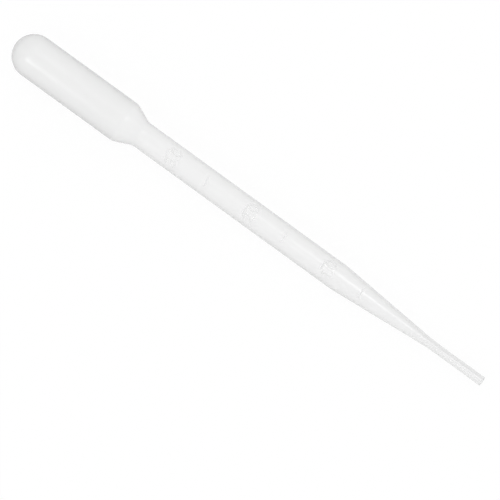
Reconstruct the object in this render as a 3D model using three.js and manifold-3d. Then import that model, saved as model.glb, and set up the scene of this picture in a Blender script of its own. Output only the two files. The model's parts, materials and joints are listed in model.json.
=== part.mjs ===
// A plastic dropper pipette, blown in one piece: a thin tip, a tapered neck, a straight stem with a
// raised mark at every half millilitre, a short shoulder, and a squeeze bulb with a round end.
//
// Millimetres, +Z up. The pipette lies on its side as it comes to rest, with its tip towards +X
// and its marks on top. Its origin is on the floor, below the middle of its length.

import * as THREE from 'three';
import { mergeVertices } from 'three/addons/utils/BufferGeometryUtils.js';
import Module from 'manifold-3d';

// Lengths of the five stretches, in order from the tip to the end of the bulb.
const tipLength = 18;
const taperLength = 31.3;
const stemLength = 68.2;
const shoulderLength = 5.1;
const bulbLength = 37.4;

// Outside diameters.
const tipDiameter = 2.7;
const stemDiameter = 7.85;
const bulbDiameter = 12.5;

// The more the hot tube was blown out, the thinner its wall: thickest at the tip, and thinnest in
// the bulb, which has to squeeze.
const tipWall = 0.6;
const stemWall = 0.45;
const bulbWall = 0.4;

// How far each soft corner of the outline reaches along the axis, to either side of the corner.
const tipBlend = 2.4;
const taperBlend = 1.4;
const neckBlend = 0.6;
const shoulderBlend = 0.9;

// Raised marks across the top, each a short rib. The first stands on the taper, and the others
// follow at the length of stem whose bore holds half a millilitre.
const firstMark = 42.2;
const markPitch = 13.2;
const markLength = 3;
const markWidth = 0.4;
const markHeight = 0.2;

// The mould's two halves leave a fine raised line where they meet: along both sides of the
// pipette and over the end of the bulb. It is trimmed lower at the tip.
const seamWidth = 0.3;
const seamHeight = 0.05;
const tipSeamHeight = 0.03;

// Smoothness. A number of sides that 4 divides puts a flat below, above and to each side.
const sides = 48;
const curveSteps = 4;

// Places along the axis, counted from the tip.
const taperStart = tipLength;
const stemStart = taperStart + taperLength;
const shoulderStart = stemStart + stemLength;
const bulbStart = shoulderStart + shoulderLength;
const bulbEnd = bulbStart + bulbLength;
const bulbCentre = bulbEnd - bulbDiameter / 2;

// Rounds a path's next corner, where the outline turns from the leg before it to the leg after.
function bend(path, before, corner, after, reach) {
  const along = (other) => corner.clone().lerp(other, reach / Math.abs(other.y - corner.y));
  const start = along(before);
  const end = along(after);
  path.lineTo(start.x, start.y);
  path.quadraticCurveTo(corner.x, corner.y, end.x, end.y);
}

// One side of the pipette's section, from the tip to the pole of the bulb: x is the distance from
// the axis, y the place along it. A depth of 0 gives the skin, a whole wall gives the bore, and a
// depth below 0 stands proud of the skin.
function outline(depthAtTip, depthInStem, depthInBulb) {
  const tipRadius = tipDiameter / 2 - depthAtTip;
  const stemRadius = stemDiameter / 2 - depthInStem;
  const bulbRadius = bulbDiameter / 2 - depthInBulb;
  const tipEnd = new THREE.Vector2(tipRadius, 0);
  const taperFoot = new THREE.Vector2(tipRadius, taperStart);
  const stemFoot = new THREE.Vector2(stemRadius, stemStart);
  const neck = new THREE.Vector2(stemRadius, shoulderStart);
  const bulbFoot = new THREE.Vector2(bulbRadius, bulbStart);
  const roundStart = new THREE.Vector2(bulbRadius, bulbCentre);

  const path = new THREE.Path();
  path.moveTo(tipEnd.x, tipEnd.y);
  bend(path, tipEnd, taperFoot, stemFoot, tipBlend);
  bend(path, taperFoot, stemFoot, neck, taperBlend);
  bend(path, stemFoot, neck, bulbFoot, neckBlend);
  bend(path, neck, bulbFoot, roundStart, shoulderBlend);
  path.lineTo(roundStart.x, roundStart.y);
  path.absarc(0, bulbCentre, bulbRadius, 0, Math.PI / 2);

  const points = path.getPoints(curveSteps);
  points.at(-1).x = 0;
  return points;
}

const skin = outline(0, 0, 0);
const bore = outline(tipWall, stemWall, bulbWall);

// The wall, revolved: down the bore, across the cut tip and up the skin, so that the bore stays
// open at the tip. The corners lie just outside the section's true circles, which puts the flats
// a true diameter apart.
function shellGeometry() {
  const toCorners = 1 / Math.cos(Math.PI / sides);
  const section = [...bore.toReversed(), ...skin];
  const corners = section.map((point) => new THREE.Vector2(point.x * toCorners, point.y));
  return new THREE.LatheGeometry(corners, sides, Math.PI / sides);
}

// The seam is a flat band round the section's outline, rooted half way into the wall.
function seamGeometry() {
  const mirrored = (points) => points.map((point) => new THREE.Vector2(-point.x, point.y));
  const crest = outline(-tipSeamHeight, -seamHeight, -seamHeight);
  const root = outline(tipWall / 2, stemWall / 2, bulbWall / 2);
  const outside = [...crest, ...mirrored(crest).toReversed()];
  const inside = [...mirrored(root), ...root.toReversed()];
  const band = new THREE.Shape([...outside, ...inside]);
  const seam = new THREE.ExtrudeGeometry(band, { depth: seamWidth, bevelEnabled: false });
  return seam.translate(0, 0, -seamWidth / 2);
}

// The skin's distance from the axis at a place along it.
function skinRadius(place) {
  const next = skin.findIndex((point) => point.y >= place);
  const high = skin[next];
  const low = skin[next - 1];
  return THREE.MathUtils.mapLinear(place, low.y, high.y, low.x, high.x);
}

// A mark is a slice of a ring, centred on the top of the skin and rooted half way into the wall.
function markGeometry(place) {
  const radius = skinRadius(place);
  const crest = radius + markHeight;
  const root = radius - stemWall / 2;
  const halfAngle = markLength / 2 / radius;
  const top = Math.PI / 2;
  const slice = new THREE.Shape();
  slice.absarc(0, 0, crest, top - halfAngle, top + halfAngle, false);
  slice.absarc(0, 0, root, top + halfAngle, top - halfAngle, true);
  slice.closePath();
  const options = { depth: markWidth, bevelEnabled: false, curveSegments: curveSteps };
  const rib = new THREE.ExtrudeGeometry(slice, options);
  return rib.rotateX(Math.PI / 2).translate(0, place + markWidth / 2, 0);
}

// The marks' places: as many as the stem holds, up to the bend into the shoulder.
function markPlaces() {
  const last = shoulderStart - neckBlend - markWidth / 2;
  const places = [];
  for (let place = firstMark; place <= last; place += markPitch) {
    places.push(place);
  }
  return places;
}

// The solid modeller joins the seam and the marks to the wall.
const wasm = await Module();
wasm.setup();

function toSolid(geometry) {
  const bare = geometry.clone();
  bare.deleteAttribute('normal');
  bare.deleteAttribute('uv');
  const merged = mergeVertices(bare);
  const vertProperties = new Float32Array(merged.attributes.position.array);
  const triVerts = new Uint32Array(merged.index.array);
  return new wasm.Manifold(new wasm.Mesh({ numProp: 3, vertProperties, triVerts }));
}

function toGeometry(solid) {
  const mesh = solid.getMesh();
  const geometry = new THREE.BufferGeometry();
  geometry.setAttribute('position', new THREE.BufferAttribute(mesh.vertProperties, 3));
  geometry.setIndex(new THREE.BufferAttribute(mesh.triVerts, 1));
  geometry.computeVertexNormals();
  return geometry;
}

function pipetteGeometry() {
  let solid = toSolid(shellGeometry()).add(toSolid(seamGeometry()));
  for (const place of markPlaces()) {
    solid = solid.add(toSolid(markGeometry(place)));
  }
  return toGeometry(solid);
}

// Where a closed shape balances: the volume-weighted mean of the tetrahedra that join its
// triangles to the origin.
function balancePoint(geometry) {
  const positions = geometry.attributes.position;
  const order = geometry.index.array;
  const [a, b, c] = [new THREE.Vector3(), new THREE.Vector3(), new THREE.Vector3()];
  const cross = new THREE.Vector3();
  const sum = new THREE.Vector3();
  let total = 0;
  for (let i = 0; i < order.length; i += 3) {
    a.fromBufferAttribute(positions, order[i]);
    b.fromBufferAttribute(positions, order[i + 1]);
    c.fromBufferAttribute(positions, order[i + 2]);
    const volume = a.dot(cross.crossVectors(b, c));
    sum.addScaledVector(a.add(b).add(c), volume / 4);
    total += volume;
  }
  return sum.divideScalar(total);
}

// On a floor the pipette touches at two rings, one to each side of its balance point: the pair
// whose joining line passes furthest from the axis there. The tilt lays that line level.
function restingTilt(balance) {
  let furthest = 0;
  let tilt = 0;
  for (const front of skin.filter((point) => point.y < balance)) {
    for (const back of skin.filter((point) => point.y >= balance)) {
      const slope = (back.x - front.x) / (back.y - front.y);
      const distance = front.x + slope * (balance - front.y);
      if (distance > furthest) {
        furthest = distance;
        tilt = Math.atan(slope);
      }
    }
  }
  return tilt;
}

// Soft, milky polyethylene.
const polyethylene = new THREE.MeshStandardMaterial({
  color: 0xeeeef0,
  roughness: 0.4,
  metalness: 0,
  transparent: true,
  opacity: 0.6,
});

const geometry = pipetteGeometry();
const pipette = new THREE.Mesh(geometry, polyethylene);
pipette.name = 'pipette';
pipette.rotation.z = Math.PI / 2;

const group = new THREE.Group();
group.add(pipette);
group.rotation.y = restingTilt(balancePoint(geometry).y);

// The bottom centre of its box stands on the origin.
const box = new THREE.Box3().setFromObject(group, true);
const middle = box.getCenter(new THREE.Vector3());
group.position.set(-middle.x, -middle.y, -box.min.z);

export default group;
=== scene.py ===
# %% [markdown]
# # A plastic dropper pipette
#
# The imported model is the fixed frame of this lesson: it says where the pipette lies and how large
# it is. Around it the lesson makes the fine skin of the real thing, with the marks, the numbers
# and the seam that its mould leaves, and gives it the milky look of soft polyethylene.

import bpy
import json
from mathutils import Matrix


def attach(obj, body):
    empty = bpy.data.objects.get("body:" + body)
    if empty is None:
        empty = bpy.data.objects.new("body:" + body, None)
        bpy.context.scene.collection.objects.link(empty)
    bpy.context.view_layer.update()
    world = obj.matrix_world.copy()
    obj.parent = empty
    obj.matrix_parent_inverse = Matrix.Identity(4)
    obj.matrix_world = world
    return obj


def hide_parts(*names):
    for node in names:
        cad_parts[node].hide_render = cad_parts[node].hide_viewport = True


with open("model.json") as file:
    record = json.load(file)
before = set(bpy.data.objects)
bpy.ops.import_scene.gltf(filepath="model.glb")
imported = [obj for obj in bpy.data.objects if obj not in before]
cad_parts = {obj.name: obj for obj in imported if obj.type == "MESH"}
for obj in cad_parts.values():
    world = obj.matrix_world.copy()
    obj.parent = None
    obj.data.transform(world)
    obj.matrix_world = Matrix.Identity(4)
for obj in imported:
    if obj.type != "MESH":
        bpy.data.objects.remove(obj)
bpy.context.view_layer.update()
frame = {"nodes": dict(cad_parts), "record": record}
print("nodes:", sorted(frame["nodes"]))

# %% The libraries, and a millimetre
import json
import math

import bpy
import numpy as np
from mathutils import Vector

MM = 0.001
scene = bpy.context.scene
print("a millimetre in scene units:", MM)

# %% [markdown]
# ## The sizes of the pipette
#
# A pipette of this kind is blown in one piece from a tube of polyethylene, so a single outline
# tells its whole form. The outline could be traced point by point, but a few named lengths and
# diameters are easier to read and to change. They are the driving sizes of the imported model, so
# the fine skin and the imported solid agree.

# %% Lengths of the five stretches, from the tip to the end of the bulb
tip_length = 18 * MM
taper_length = 31.3 * MM
stem_length = 68.2 * MM
shoulder_length = 5.1 * MM
bulb_length = 37.4 * MM

taper_start = tip_length
stem_start = taper_start + taper_length
shoulder_start = stem_start + stem_length
bulb_start = shoulder_start + shoulder_length
bulb_end = bulb_start + bulb_length
print(f"overall length: {bulb_end / MM:.1f} mm")

# %% Outside diameters, walls, and the middle of the round end
tip_diameter, tip_wall = 2.7 * MM, 0.6 * MM
stem_diameter, stem_wall = 7.85 * MM, 0.45 * MM
bulb_diameter, bulb_wall = 12.5 * MM, 0.4 * MM

bulb_centre = bulb_end - bulb_diameter / 2
print(f"bore at the tip: {(tip_diameter - 2 * tip_wall) / MM:.1f} mm")

# %% How far each soft corner of the outline reaches, to either side of the corner
tip_blend = 2.4 * MM
taper_blend = 1.4 * MM
neck_blend = 0.6 * MM
shoulder_blend = 0.9 * MM
print(f"softest corner: {max(tip_blend, taper_blend, neck_blend, shoulder_blend) / MM:.1f} mm")

# %% [markdown]
# ## Where the pipette lies
#
# It rests on its side, a little nose down, so its axis isn't level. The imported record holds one
# mount, a point at the top of the cut ring at the tip, with the direction that the tip faces.
# Both fix the axis, so the fine skin needs no fitting.

# %% The pipette's own axes
tip_mount = next(m for m in frame["record"]["mounts"] if m["name"] == "tip_end")
along = -Vector(tip_mount["axis"]).normalized()
side = Vector((0, 1, 0))
up = side.cross(along).normalized()
ring_middle = (tip_diameter - tip_wall) / 2
tip_centre = Vector(tip_mount["pos_m"]) - up * ring_middle
print("middle of the tip:", tuple(tip_centre), "axis:", tuple(along))

# %% [markdown]
# ## The outline
#
# The outline is a line that turns at four soft corners and ends in a quarter of a circle. It
# could be a Bezier curve, but a formula gives the distance from the axis at any place, which the
# rings, the marks and the seam all need. A turn between two straight legs that keeps its reach on
# both sides is a parabola, so the distance is a sum of smooth ramps, one for each corner. The
# bore has the same form, a wall further in.


# %% Distance from the axis, from the tip up to the middle of the round end
def tube_radius(place, tip_radius, stem_radius, bulb_radius):
    taper_slope = (stem_radius - tip_radius) / taper_length
    shoulder_slope = (bulb_radius - stem_radius) / shoulder_length
    corners = [
        (taper_start, tip_blend, taper_slope),
        (stem_start, taper_blend, -taper_slope),
        (shoulder_start, neck_blend, shoulder_slope),
        (bulb_start, shoulder_blend, -shoulder_slope),
    ]
    radius = np.full_like(place, tip_radius)
    for corner, reach, turn in corners:
        inside = np.clip(place - corner, -reach, reach) + reach
        beyond = np.maximum(place - corner - reach, 0)
        radius += turn * (inside**2 / (4 * reach) + beyond)
    return radius


half_sizes = tip_diameter / 2, stem_diameter / 2, bulb_diameter / 2
sample = np.array([0, taper_start, stem_start, shoulder_start, bulb_start, bulb_centre])
print("radius at the corners, mm:", tube_radius(sample, *half_sizes) / MM)

# %% [markdown]
# ## Marks and numbers
#
# A raised mark stands at every half millilitre, and a number at every whole one. On the real
# pipette they are cut into the mould with a small round-nosed cutter, so each figure is a set of
# strokes of one width. A font turned into solid letters would need a boolean and would leave
# faces inside the wall, so the strokes are drawn here and later lift the skin itself.

# %% Sizes of the marks and the numbers
first_mark = 42.2 * MM
mark_pitch = 13.2 * MM
mark_length = 3 * MM
mark_width = 0.4 * MM
relief_height = 0.2 * MM

number_height = 3 * MM
number_width = 0.55 * number_height
number_spacing = 0.25 * number_height
number_stroke = 0.4 * MM
number_gap = 0.5 * MM

mark_count = 1 + int((shoulder_start - neck_blend - first_mark) // mark_pitch)
marks = [first_mark + i * mark_pitch for i in range(mark_count)]
numbers = [f"{(i + 1) // 2}.0" if i % 2 else "" for i in range(mark_count)]
print("marks:", [f"{place / MM:.1f}" for place in marks], "numbers:", numbers)


# %% Strokes of a figure, in a box one unit wide and one high
def arc(centre, reach, start, end, count=11):
    turn = np.radians(np.linspace(start, end, count))
    return [(centre[0] + reach[0] * math.cos(a), centre[1] + reach[1] * math.sin(a)) for a in turn]


figures = {
    "0": [arc((0.5, 0.5), (0.5, 0.5), 0, 360, 25)],
    "1": [[(0.25, 0.78), (0.6, 1), (0.6, 0)]],
    "2": [arc((0.5, 0.72), (0.48, 0.28), 170, -30) + [(0, 0), (1, 0)]],
    "3": [arc((0.45, 0.75), (0.45, 0.25), 150, -90) + arc((0.45, 0.26), (0.53, 0.26), 88, -150)],
    ".": [[(0, 0), (0, 0.03)]],
}
narrow = {".": 0.0}
print("figures drawn with strokes:", " ".join(figures))


# %% Strokes of a number, with its foot towards the tip and centred on the top of the stem
def number_size(text):
    figure_widths = [number_width * narrow.get(figure, 1) for figure in text]
    return figure_widths, sum(figure_widths) + number_spacing * (len(text) - 1)


def number_strokes(text, foot):
    figure_widths, whole = number_size(text)
    start = -whole / 2
    drawn = []
    for figure, width in zip(text, figure_widths):
        for stroke in figures[figure]:
            drawn.append([(start + u * number_width, foot + v * number_height) for u, v in stroke])
        start += width + number_spacing
    return drawn


widest_number = max(number_size(text)[1] for text in numbers if text)
print(f"widest number: {widest_number / MM:.1f} mm")


# %% All strokes on the stem, as points across and along it
def mark_strokes(place):
    half = (mark_length - mark_width) / 2
    return [[(-half, place), (half, place)]]


all_marks = [stroke for mark in marks for stroke in mark_strokes(mark)]
all_numbers = []
for mark, number in zip(marks, numbers):
    foot = mark - number_gap - number_height
    all_numbers += number_strokes(number, foot)
print(len(all_marks), "mark strokes and", len(all_numbers), "number strokes")

# %% [markdown]
# ## Rings and lines
#
# The skin is a grid: rings round the axis, and lines that run the length of the pipette. An even
# grid fine enough for the numbers would have millions of faces. So rings lie close together where
# the skin bends or carries relief, and further apart where it is straight, and lines lie close
# together on top, under the numbers, and at both sides, along the seam.

# %% Steps between rings
plain_step = 2.2 * MM
bore_step = 4 * MM
bend_step = 0.4 * MM
sharp_step = 0.13 * MM
relief_step = 0.055 * MM
lip_step = 0.012 * MM
lip_ease = 0.06 * MM
relief_flank = 0.18 * MM
relief_margin = 0.06 * MM
print(f"finest step on the relief: {relief_step / MM} mm")

# %% Stretches that need close rings
corner_zones = [
    (taper_start - tip_blend, taper_start + tip_blend, bend_step),
    (stem_start - taper_blend, stem_start + taper_blend, bend_step),
    (shoulder_start - neck_blend, shoulder_start + neck_blend, sharp_step),
    (bulb_start - shoulder_blend, bulb_start + shoulder_blend, sharp_step),
]
lip_zones = [(0, lip_ease, lip_step), (lip_ease, 10 * lip_ease, 5 * lip_step)]


def relief_zone(mark, number):
    reach = mark_width / 2 + relief_flank / 2 + relief_margin
    number_reach = number_gap + number_height + number_stroke / 2 + relief_flank / 2
    below = number_reach + relief_margin if number else reach
    return mark - below, mark + reach, relief_step


relief_zones = [relief_zone(mark, number) for mark, number in zip(marks, numbers)]
print(len(corner_zones), "bends and", len(relief_zones), "stretches of relief")


# %% Places of the rings, from the tip to the middle of the round end
def ring_places(zones, step):
    places = [0.0]
    while places[-1] < bulb_centre:
        here = places[-1]
        near = [fine for start, end, fine in zones if start - fine / 2 <= here < end]
        ahead = [start - here for start, end, fine in zones if start > here + fine / 2]
        places.append(here + min([step, *near, *ahead]))
    return np.array([place for place in places if place < bulb_centre - sharp_step])


# %% Rings of the skin or the bore, as place, radius and the direction that is outwards
def rings(places, walls, dome_rings, lip):
    radii = [size - wall for size, wall in zip(half_sizes, walls)]
    eased = np.clip(lip_ease - places, 0, None)
    lip_round = lip * (lip_ease - np.sqrt(lip_ease**2 - eased**2))
    turn = np.linspace(0, math.pi / 2, dome_rings, endpoint=False)
    place = np.append(places, bulb_centre + radii[-1] * np.sin(turn))
    radius = np.append(tube_radius(places, *radii) + lip_round, radii[-1] * np.cos(turn))
    straight = np.zeros(len(places))
    outwards = np.stack([np.append(straight, np.sin(turn)), np.append(straight + 1, np.cos(turn))])
    return place, radius, outwards


skin_places = ring_places(lip_zones + corner_zones + relief_zones, plain_step)
skin_place, skin_radius, skin_out = rings(skin_places, (0, 0, 0), dome_rings=30, lip=-1)
bore_places = ring_places(lip_zones + corner_zones, bore_step)
bore_walls = (tip_wall, stem_wall, bulb_wall)
bore_place, bore_radius, bore_out = rings(bore_places, bore_walls, dome_rings=20, lip=1)
print(len(skin_place), "rings on the skin,", len(bore_place), "in the bore")

# %% Lines along the pipette, as angles from the top, in degrees
stem_radius = stem_diameter / 2
top_reach = math.degrees((widest_number + number_stroke + relief_flank) / 2 / stem_radius)
top_step = math.degrees(relief_step / stem_radius)
seam_reach, seam_step = 3.6, 0.8
plain_turn = 4.5


def angles_between(start, end, step):
    return list(np.linspace(start, end, round((end - start) / step), endpoint=False))


stretches = [
    (-180, -90 - seam_reach, plain_turn),
    (-90 - seam_reach, -90 + seam_reach, seam_step),
    (-90 + seam_reach, -top_reach, plain_turn),
    (-top_reach, top_reach, top_step),
    (top_reach, 90 - seam_reach, plain_turn),
    (90 - seam_reach, 90 + seam_reach, seam_step),
    (90 + seam_reach, 180, plain_turn),
]
angle = np.radians(sum((angles_between(*stretch) for stretch in stretches), []))
print(len(angle), f"lines along the pipette, close together up to {top_reach:.0f} degrees")

# %% [markdown]
# ## Relief, seam and ripple
#
# Each point of the skin is lifted by what stands there. A stroke lifts what lies within half its
# width, with a short soft flank. The seam, where the two halves of the mould meet, is a far lower
# line along both sides and over the end of the bulb. And no blown tube is perfectly even: a very
# slow, shallow ripple breaks up the highlights as it does on the real one. A bump map could draw
# all three, but they would vanish at the silhouette, so they are real shape.


# %% The height of a ridge at a distance from its middle line
def ridge(distance, width, height):
    rise = np.clip((width / 2 + relief_flank / 2 - distance) / relief_flank, 0, 1)
    return height * rise * rise * (3 - 2 * rise)


def stroke_distance(across, place, stroke):
    nearest = np.full(across.shape, np.inf)
    for (u0, v0), (u1, v1) in zip(stroke, stroke[1:]):
        du, dv = u1 - u0, v1 - v0
        share = ((across - u0) * du + (place - v0) * dv) / (du * du + dv * dv)
        share = np.clip(share, 0, 1)
        gap = np.hypot(across - u0 - share * du, place - v0 - share * dv)
        nearest = np.minimum(nearest, gap)
    return nearest


# %% Marks and numbers on the skin
skin_across = skin_radius[:, None] * angle[None, :]
skin_along = np.repeat(skin_place[:, None], len(angle), axis=1)
relief = np.zeros(skin_across.shape)
for strokes, width in ((all_marks, mark_width), (all_numbers, number_stroke)):
    for stroke in strokes:
        distance = stroke_distance(skin_across, skin_along, stroke)
        relief = np.maximum(relief, ridge(distance, width, relief_height))
stroke_share = relief / relief_height
print(f"highest relief: {relief.max() / MM:.3f} mm")

# %% The seam
seam_width = 0.26 * MM
seam_height = 0.015 * MM
tip_seam_height = 0.01 * MM

seam_distance = np.abs(skin_radius[:, None] * np.cos(angle)[None, :])
seam_tall = np.interp(skin_place, [taper_start, stem_start], [tip_seam_height, seam_height])
relief = np.maximum(relief, ridge(seam_distance, seam_width, seam_tall[:, None]))
relief[skin_place < lip_ease] = 0
print(f"seam: {seam_height / MM:.3f} mm high")

# %% The ripple, which only ever takes away, and fades out over the round end
ripple_depth = 0.01 * MM
ripple_waves = [(3.3 * MM, 0.4, 0), (5.1 * MM, 2.1, 1), (8.7 * MM, 4.0, -1)]


def ripple(place, start=0.0):
    height = np.zeros((len(place), len(angle)))
    for length, phase, lobes in ripple_waves:
        wave = math.tau * place[:, None] / length + phase + start + lobes * angle[None, :]
        height += np.sin(wave) / len(ripple_waves)
    fade = np.clip((bulb_end - place) / (bulb_diameter / 2), 0, 1)
    return ripple_depth * fade[:, None] * (height - 1) / 2


skin_ripple = ripple(skin_place)
print(f"ripple: {np.ptp(skin_ripple) / MM:.3f} mm from crest to trough")

# %% [markdown]
# ## The wall as one mesh
#
# Light has to pass through a real wall, with a skin and a bore, or the plastic would look like a
# solid rod. A Solidify modifier could thicken a single skin, but it would copy the marks into the
# bore. So the rings run down the bore, across the cut ring at the tip and up the skin, and a pole
# closes each end. The wall is then one closed body that is open at the tip. A tube is never blown
# quite evenly either: here the bore lies a little to one side, most at the tip, and not at all in
# the bulb, so that the wall is thicker along one side than along the other.


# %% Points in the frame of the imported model
off_places = [taper_start, stem_start, bulb_start]
bore_shift = np.interp(bore_place, off_places, [0.2 * MM, 0.03 * MM, 0])


def ring_points(place, radius, outwards, height, off=0.0):
    place = place[:, None] + outwards[0][:, None] * height
    radius = radius[:, None] + outwards[1][:, None] * height
    lift = (radius * np.cos(angle))[..., None] * np.array(up)
    across = radius * np.sin(angle) - np.reshape(off, (-1, 1))
    shift = across[..., None] * np.array(side)
    return np.array(tip_centre) + place[..., None] * np.array(along) + lift + shift


def pole_point(depth):
    return np.array(tip_centre + along * (bulb_end - depth))


bore_ripple = ripple(bore_place, 1.0)
bore_grid = ring_points(bore_place, bore_radius, bore_out, bore_ripple, bore_shift)[::-1]
skin_grid = ring_points(skin_place, skin_radius, skin_out, relief + skin_ripple)
grid = np.concatenate([bore_grid, skin_grid])
poles = pole_point(bulb_wall), pole_point(-seam_height)  # the seam passes over the outer pole
points = np.vstack([grid.reshape(-1, 3), *poles])
print(len(points), "points")

# %% Faces, each with its front towards the air
ring_count, line_count = grid.shape[:2]
index = np.arange(ring_count * line_count).reshape(ring_count, line_count)
turned = np.roll(index, -1, axis=1)
quads = np.stack([index[:-1], turned[:-1], turned[1:], index[1:]], axis=-1).reshape(-1, 4)
bore_pole, skin_pole = len(points) - 2, len(points) - 1
bore_cap = [(bore_pole, int(b), int(a)) for a, b in zip(index[0], turned[0])]
skin_cap = [(int(a), int(b), skin_pole) for a, b in zip(index[-1], turned[-1])]

shell_mesh = bpy.data.meshes.new("pipette_shell")
shell_mesh.from_pydata(points.tolist(), [], quads.tolist() + bore_cap + skin_cap)
shell_mesh.shade_smooth()
shell = bpy.data.objects.new("pipette_shell", shell_mesh)
scene.collection.objects.link(shell)
triangles = sum(len(face.vertices) - 2 for face in shell_mesh.polygons)
print(triangles, "triangles")


# %% What the shader has to know of each point: how far it is raised, and if it lies in the bore
def keep_for_shader(name, bore_value, skin_value):
    bore_values = np.full(bore_grid.shape[:2], bore_value)
    skin_values = np.zeros(skin_grid.shape[:2]) + skin_value
    values = np.append(np.concatenate([bore_values, skin_values]).ravel(), [bore_value, 0])
    shell_mesh.attributes.new(name, "FLOAT", "POINT").data.foreach_set("value", values)
    return values


raised = keep_for_shader("raised", 0.0, stroke_share)
bore = keep_for_shader("bore", 1.0, 0.0)
print(np.count_nonzero(raised), "points on strokes and", np.count_nonzero(bore), "in the bore")

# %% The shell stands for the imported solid
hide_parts("pipette")
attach(shell, "root")
print("the shell replaces the packed node")

# %% [markdown]
# ## Writing shader nodes as sums
#
# A material is a graph of nodes, and a graph built call by call is hard to read. The class below
# wraps a socket, so that adding or multiplying two of them adds the Math node that does it. Any
# other node comes from one method: its type, its settings, then what goes into its sockets.


# %% A socket that can be added, subtracted and multiplied
def shown_socket(sockets, name):
    if isinstance(name, int):
        return sockets[name]
    return next(socket for socket in sockets if socket.name == name and socket.enabled)


class Wire:
    def __init__(self, tree, socket):
        self.tree = tree
        self.socket = socket

    @classmethod
    def node(cls, tree, kind, settings=None, values=None, output=0):
        made = tree.nodes.new(kind)
        for name, value in (settings or {}).items():
            setattr(made, name, value)
        for name, value in (values or {}).items():
            socket = shown_socket(made.inputs, name)
            if isinstance(value, cls):
                tree.links.new(value.socket, socket)
            else:
                socket.default_value = value
        return None if output is None else cls(tree, shown_socket(made.outputs, output))

    def maths(self, operation, first, second):
        settings = {"operation": operation}
        return self.node(self.tree, "ShaderNodeMath", settings, {0: first, 1: second})

    def __add__(self, other):
        return self.maths("ADD", self, other)

    def __sub__(self, other):
        return self.maths("SUBTRACT", self, other)

    def __rsub__(self, other):
        return self.maths("SUBTRACT", other, self)

    def __mul__(self, other):
        return self.maths("MULTIPLY", self, other)

    __radd__ = __add__
    __rmul__ = __mul__


print("sockets can be added, subtracted and multiplied")


# %% A fresh tree for a material or the world
def fresh_tree(owner):
    owner.use_nodes = True
    owner.node_tree.nodes.clear()
    return owner.node_tree


# %% [markdown]
# ## Soft polyethylene
#
# Low-density polyethylene is milky: light goes through it, but a little is scattered on the way.
# Face on, the thin wall is nearly clear, and edge on, where light runs a long way inside it, it
# looks grey. A volume that scatters would do this exactly and slowly. Here the scattering is split
# in two: a share of frosted glass is mixed into clear glass, and a haze inside the wall only takes
# light away, the more the longer its way. A glossy coat on the side that faces the air carries the
# highlights. Faint streaks follow the axis, where the tube was drawn out, and the bulb has a fine
# pitted skin from the blasted part of the mould. The cutter leaves a dull floor in the mould, so
# the marks and the numbers are more frosted than the skin around them. They are also painted a
# little greyer, a painted shade that stands in for the dark edges their relief shows in the light.
# The bore never touches the mould and stays clear. The skin is painted greyest at the tip, a
# painted shade that stands in for the dark bands along its thick wall.

# %% Where on the plastic a point lies
milky = bpy.data.materials.new("milky_polyethylene")
plastic = fresh_tree(milky)
spot = Wire.node(plastic, "ShaderNodeTexCoord", output="Object")
spot_x = Wire.node(plastic, "ShaderNodeSeparateXYZ", {}, {"Vector": spot}, "X")
print("places on the plastic:", len(plastic.nodes), "nodes")


# %% Patterns on the plastic
def noise(scale, stretch=(1, 1, 1), detail=2.0):
    moved = Wire.node(plastic, "ShaderNodeMapping", {}, {"Vector": spot, "Scale": stretch})
    looks = {"Vector": moved, "Scale": scale, "Detail": detail}
    return Wire.node(plastic, "ShaderNodeTexNoise", {}, looks)


cloud = noise(150)
streaks = noise(900, stretch=(0.03, 1, 1))
pits = noise(2200)
print("patterns:", len(plastic.nodes), "nodes")


# %% Masks: one is 1 on the bulb, the other is 1 on the tip, and both are 0 on the stem
def mask(place, start, end):
    middle = (tip_centre + along * place).x
    looks = {"Value": spot_x, "From Min": middle + start, "From Max": middle + end}
    smooth = {"interpolation_type": "SMOOTHSTEP"}
    return Wire.node(plastic, "ShaderNodeMapRange", smooth, looks, "Result")


on_bulb = mask(bulb_start, start=1 * MM, end=-3 * MM)
on_tip = mask(taper_start, start=-14 * MM, end=2 * MM)
print("masks:", len(plastic.nodes), "nodes")


# %% Colour and fine skin
def blend(factor, first, second):
    looks = {"Factor": factor, "A": first, "B": second}
    return Wire.node(plastic, "ShaderNodeMix", {"data_type": "RGBA"}, looks, "Result")


def grey(level):
    return level, level, level, 1


def kept(name):
    return Wire.node(plastic, "ShaderNodeAttribute", {"attribute_name": name}, output="Fac")


on_stroke, in_bore = kept("raised"), kept("bore")
stem_tint = blend(cloud * 0.6 + streaks * 0.4, grey(0.952), grey(0.966))
# The tip is painted greyer: painted shade standing in for the dark bands of its thick wall.
tint_with_painted_tip_shade = blend(on_tip, stem_tint, grey(0.936))
wall_tint = blend(in_bore, tint_with_painted_tip_shade, grey(1))
bulb_tint = blend(on_bulb * 0.5, wall_tint, grey(0.95))
# Marks and numbers are painted greyer: painted shade standing in for the dark edges of their
# relief.
tint = blend(on_stroke, bulb_tint, grey(0.87))
pit_bump = {"Strength": 0.4, "Distance": 0.03 * MM, "Height": pits * on_bulb}
fine_normal = Wire.node(plastic, "ShaderNodeBump", {}, pit_bump, "Normal")
print("tint and fine skin:", len(plastic.nodes), "nodes")

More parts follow.
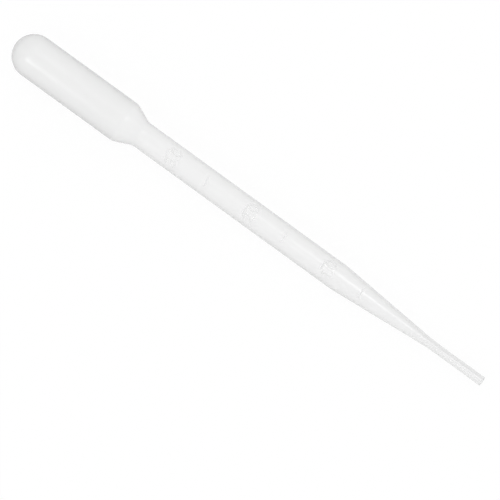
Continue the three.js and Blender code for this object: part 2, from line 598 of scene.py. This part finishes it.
# %% Clear glass, frosted glass, and a share of each, with the coat on the side of the air
outside = 1 - Wire.node(plastic, "ShaderNodeNewGeometry", output="Backfacing")
clear = {
    "Base Color": tint,
    "Roughness": 0.08 + 0.05 * on_bulb + 0.04 * (cloud - 0.5),
    "IOR": 1.25,
    "Transmission Weight": 1.0,
    "Coat Weight": outside * (1 - 0.5 * on_bulb),
    "Coat Roughness": 0.15,
    "Normal": fine_normal,
}
frosted = {**clear, "Roughness": 0.32}
kinds = [Wire.node(plastic, "ShaderNodeBsdfPrincipled", {}, k, "BSDF") for k in (clear, frosted)]
frosted_share = 0.4 + 0.4 * on_stroke
both = {0: frosted_share, 1: kinds[0], 2: kinds[1]}
wall = Wire.node(plastic, "ShaderNodeMixShader", {}, both, "Shader")
print("clear and frosted glass:", len(plastic.nodes), "nodes")

# %% The haze inside the wall
loss = {"Color": grey(0), "Density": 66.0}
haze = Wire.node(plastic, "ShaderNodeVolumeAbsorption", {}, loss, "Volume")
parts = {"Surface": wall, "Volume": haze}
Wire.node(plastic, "ShaderNodeOutputMaterial", {}, parts, None)
shell_mesh.materials.append(milky)
print("milky polyethylene:", len(plastic.nodes), "nodes")

# %% [markdown]
# ## The floor
#
# The pipette lies on white paper. Paper lit only by the lamps would need so much light that the
# pipette would wash out. So the sheet shines by itself where it is seen directly, in a reflection
# or through the plastic, and the rest of its look is plain paper, which keeps the soft shadow.
# Cycles can aim rays at a shining face. This one is met on all sides anyway, so that is turned
# off, and the picture has less grain.

# %% A sheet of paper
floor_half = 12.0
corners = [(-1, -1), (1, -1), (1, 1), (-1, 1)]
floor_points = [(x * floor_half, y * floor_half, 0) for x, y in corners]
floor_mesh = bpy.data.meshes.new("floor")
floor_mesh.from_pydata(floor_points, [], [(0, 1, 2, 3)])
floor = bpy.data.objects.new("floor", floor_mesh)
scene.collection.objects.link(floor)
print(f"floor: {2 * floor_half:.0f} m wide")

# %% White paper
paper = bpy.data.materials.new("white_paper")
sheet = fresh_tree(paper)


def seen_rays(tree):
    kinds = ["Is Camera Ray", "Is Glossy Ray", "Is Transmission Ray"]
    camera, glossy, through = [Wire.node(tree, "ShaderNodeLightPath", output=k) for k in kinds]
    return camera.maths("MAXIMUM", camera.maths("MAXIMUM", camera, glossy), through)


paper_colour = {"Color": grey(0.97)}
shine = {"Color": grey(1), "Strength": 1.0}
lit = Wire.node(sheet, "ShaderNodeBsdfDiffuse", {}, paper_colour, "BSDF")
white = Wire.node(sheet, "ShaderNodeEmission", {}, shine, "Emission")
shine_share = 0.95
paper_mix = {0: shine_share * seen_rays(sheet), 1: lit, 2: white}
paper_shader = Wire.node(sheet, "ShaderNodeMixShader", {}, paper_mix, "Shader")
Wire.node(sheet, "ShaderNodeOutputMaterial", {}, {"Surface": paper_shader}, None)
floor_mesh.materials.append(paper)
paper.cycles.emission_sampling = "NONE"
print("white paper:", len(sheet.nodes), "nodes")

# %% [markdown]
# ## Light
#
# A plain white room lights the pipette evenly from all sides. On its own that would leave the
# plastic without a single highlight, so two small soft lamps, far away, add the thin bright line
# on the taper and the soft patch on the round end of the bulb. Where the room itself is seen, it
# is as white as the sheet, so that no horizon shows. An even room needs no aimed rays either:
# they are left to the lamps.

# %% The room
world = bpy.data.worlds.new("studio")
scene.world = world
world.cycles.sampling_method = "NONE"
studio = fresh_tree(world)
room_level = 0.9
seen_level = room_level + (1 - room_level) * seen_rays(studio)
room_light = {"Color": grey(1), "Strength": seen_level}
sky = Wire.node(studio, "ShaderNodeBackground", {}, room_light, "Background")
Wire.node(studio, "ShaderNodeOutputWorld", {}, {"Surface": sky}, None)
print("room light:", room_level)


# %% Lamps
def far_lamp(name, direction, strength, width):
    lamp = bpy.data.lights.new(name, "SUN")
    lamp.energy = strength * math.pi
    lamp.angle = math.radians(width)
    placed = bpy.data.objects.new(name, lamp)
    placed.rotation_mode = "QUATERNION"
    placed.rotation_quaternion = Vector(direction).to_track_quat("Z", "Y")
    scene.collection.objects.link(placed)
    return placed


key_lamp = far_lamp("key_lamp", (0.226, 0.293, 0.929), strength=0.06, width=20)
side_lamp = far_lamp("side_lamp", (-0.235, -0.566, 0.79), strength=0.1, width=20)
print("lamps:", key_lamp.name, side_lamp.name)

# %% [markdown]
# ## The camera
#
# The camera looks straight down, turned so that the pipette runs across the picture from the
# bulb at the upper left to the tip at the lower right. A long lens keeps the outline free of
# perspective.

# %% A camera above the pipette
picture_width = 138.9 * MM
picture_turn = math.radians(35.92)
aim = Vector((5.97, -8.3, 4.9)) * MM

camera_data = bpy.data.cameras.new("camera")
camera_data.lens = 135
camera_data.sensor_width = 36
camera_height = picture_width * camera_data.lens / camera_data.sensor_width
camera = bpy.data.objects.new("camera", camera_data)
camera.location = aim + Vector((0, 0, camera_height))
camera.rotation_euler = (0, 0, picture_turn)
scene.collection.objects.link(camera)
scene.camera = camera
scene.view_settings.view_transform = "Standard"
print(f"camera height: {camera_height:.3f} m")
